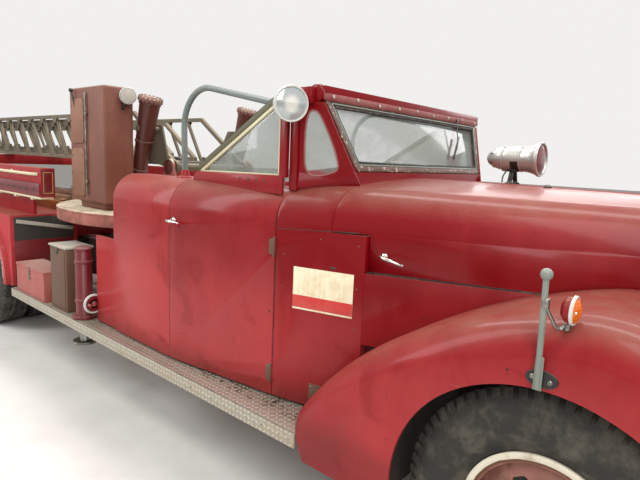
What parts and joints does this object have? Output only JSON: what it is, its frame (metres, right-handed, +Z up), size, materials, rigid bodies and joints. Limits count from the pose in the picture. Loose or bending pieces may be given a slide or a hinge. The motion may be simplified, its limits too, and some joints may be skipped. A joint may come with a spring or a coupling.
{
  "type": "fire engine",
  "caption": "Conventional-cab fire engine with open top cab, mid-ship turntable, raising and extending ladder, hinged doors, hood halves and jacks.",
  "frame": {"origin": "on the ground, under the middle of the overall box from the front bumper to the tip of the bedded ladder", "axes": "+X forward, +Y to the vehicle's left, +Z up"},
  "size_m": [11.2007, 2.4304, 2.29],
  "materials": {
    "red_paint": "faded, chalky enamel",
    "dark_steel": "dark, dusty chassis paint",
    "tyre": "worn black rubber",
    "wheel_paint": "dull paint with rust at the rim",
    "glass": "dusty clear glass",
    "olive_steel": "dull, dusty paint",
    "brown_paint": "rusty primer",
    "bare_steel": "dull worn metal",
    "chrome": "worn plating",
    "tread_plate": "embossed and dusty",
    "leather": "black, cracked",
    "wood": "varnished",
    "dusty_steel": "dusty deck paint"
  },
  "bodies": {
    "chassis": {"bumper": "bare_steel", "cab_body": "red_paint", "chassis_frame": "dark_steel", "cowl": "red_paint", "engine_block": "dark_steel", "front_axle": "dark_steel", "front_fenders": "red_paint", "ground_ladders": "wood", "headlamps": "chrome", "jacks": "red_paint", "marker_posts": "bare_steel", "radiator_shell": "chrome", "rear_axle": "dark_steel", "rear_body": "red_paint", "running_boards": "tread_plate", "seat": "leather", "side_lockers": "brown_paint", "spotlights": "chrome", "steering_column": "dark_steel", "toolbox": "red_paint", "top_hoops": "bare_steel", "turntable_base": "dark_steel", "windscreen_frame": "brown_paint", "windscreen_glass": "glass"},
    "knuckle_left": {"steering_knuckle_left": "dark_steel"},
    "knuckle_right": {"steering_knuckle_right": "dark_steel"},
    "track_rod": {"tie_rod": "dark_steel"},
    "front_wheel_left": {"front_tyre_left": "tyre", "front_rim_left": "wheel_paint"},
    "front_wheel_right": {"front_tyre_right": "tyre", "front_rim_right": "wheel_paint"},
    "rear_wheels_left": {"rear_tyres_left": "tyre", "rear_rims_left": "wheel_paint"},
    "rear_wheels_right": {"rear_tyres_right": "tyre", "rear_rims_right": "wheel_paint"},
    "door_l": {"door_left": "red_paint", "door_glass_left": "glass"},
    "door_r": {"door_right": "red_paint", "door_glass_right": "glass"},
    "hood_l": {"hood_left": "red_paint", "siren": "chrome"},
    "hood_r": {"hood_right": "red_paint"},
    "box_lid": {"toolbox_lid": "red_paint"},
    "jack_l": {"jack_foot_left": "bare_steel"},
    "jack_r": {"jack_foot_right": "bare_steel"},
    "turntable": {"turntable_deck": "dusty_steel", "control_pedestal": "brown_paint"},
    "base_ladder": {"ladder_base": "olive_steel"},
    "mid_ladder": {"ladder_mid": "olive_steel"},
    "fly_ladder": {"ladder_fly": "olive_steel"},
    "barrels": {"hoist_barrels": "brown_paint"},
    "rods": {"hoist_rods": "bare_steel"}
  },
  "joints": [
    {"name": "steer_left", "type": "hinge", "parent": "chassis", "child": "knuckle_left", "pos_m": [4.65, 0.8, 0.525], "axis": [0, 0, 1], "range_deg": [-32, 32]},
    {"name": "steer_right", "type": "hinge", "parent": "chassis", "child": "knuckle_right", "pos_m": [4.65, -0.8, 0.525], "axis": [0, 0, 1], "range_deg": [-32, 32]},
    {"name": "track_rod_swing", "type": "hinge", "parent": "knuckle_left", "child": "track_rod", "pos_m": [4.45, 0.8, 0.403], "axis": [0, 0, 1], "range_deg": [-32, 32]},
    {"name": "front_roll_left", "type": "hinge", "parent": "knuckle_left", "child": "front_wheel_left", "pos_m": [4.65, 0.98, 0.525], "axis": [0, 1, 0], "continuous": true},
    {"name": "front_roll_right", "type": "hinge", "parent": "knuckle_right", "child": "front_wheel_right", "pos_m": [4.65, -0.98, 0.525], "axis": [0, 1, 0], "continuous": true},
    {"name": "rear_roll_left", "type": "hinge", "parent": "chassis", "child": "rear_wheels_left", "pos_m": [-0.8, 0.9, 0.525], "axis": [0, 1, 0], "continuous": true},
    {"name": "rear_roll_right", "type": "hinge", "parent": "chassis", "child": "rear_wheels_right", "pos_m": [-0.8, -0.9, 0.525], "axis": [0, 1, 0], "continuous": true},
    {"name": "door_open_right", "type": "hinge", "parent": "chassis", "child": "door_r", "pos_m": [3.181, -0.985, 1], "axis": [0, 0, 1], "range_deg": [0, 65]},
    {"name": "door_open_left", "type": "hinge", "parent": "chassis", "child": "door_l", "pos_m": [3.181, 0.985, 1], "axis": [0, 0, -1], "range_deg": [0, 65]},
    {"name": "hood_open_left", "type": "hinge", "parent": "chassis", "child": "hood_l", "pos_m": [3.511, 0.022, 1.706], "axis": [0.9999, 0, -0.0111], "range_deg": [0, 60]},
    {"name": "hood_open_right", "type": "hinge", "parent": "chassis", "child": "hood_r", "pos_m": [3.511, -0.022, 1.706], "axis": [-0.9999, 0, 0.0111], "range_deg": [0, 60]},
    {"name": "box_lid_open", "type": "hinge", "parent": "chassis", "child": "box_lid", "pos_m": [0.31, -0.927, 0.7353], "axis": [-1, 0, 0], "range_deg": [0, 100]},
    {"name": "jack_lower_left", "type": "slide", "parent": "chassis", "child": "jack_l", "axis": [0, 0, -1], "range_m": [0, 0.3]},
    {"name": "jack_lower_right", "type": "slide", "parent": "chassis", "child": "jack_r", "axis": [0, 0, -1], "range_m": [0, 0.3]},
    {"name": "turntable_turn", "type": "hinge", "parent": "chassis", "child": "turntable", "pos_m": [0.85, 0, 1.2], "axis": [0, 0, 1], "range_deg": [-125, 125]},
    {"name": "ladder_raise", "type": "hinge", "parent": "turntable", "child": "base_ladder", "pos_m": [1.33, 0, 1.68], "axis": [0, 1, 0], "range_deg": [0, 75]},
    {"name": "mid_extend", "type": "slide", "parent": "base_ladder", "child": "mid_ladder", "axis": [-1, 0, 0], "range_m": [0, 4.6]},
    {"name": "fly_extend", "type": "slide", "parent": "mid_ladder", "child": "fly_ladder", "axis": [-1, 0, 0], "range_m": [0, 4.6]},
    {"name": "barrel_swing", "type": "hinge", "parent": "base_ladder", "child": "barrels", "pos_m": [1.13, 0, 1.98], "axis": [0, 1, 0], "range_deg": [-60, 60]},
    {"name": "rod_travel", "type": "slide", "parent": "barrels", "child": "rods", "axis": [-0.2941, 0, -0.9558], "range_m": [0, 0.4]}
  ],
  "couplings": [
    {"joint": "steer_right", "follows": "steer_left", "ratio": 1},
    {"joint": "track_rod_swing", "follows": "steer_left", "ratio": -1},
    {"joint": "fly_extend", "follows": "mid_extend", "ratio": 1},
    {"joint": "barrel_swing", "follows": "ladder_raise", "ratio": -0.5876},
    {"joint": "rod_travel", "follows": "ladder_raise", "m_per_rad": 0.175}
  ]
}
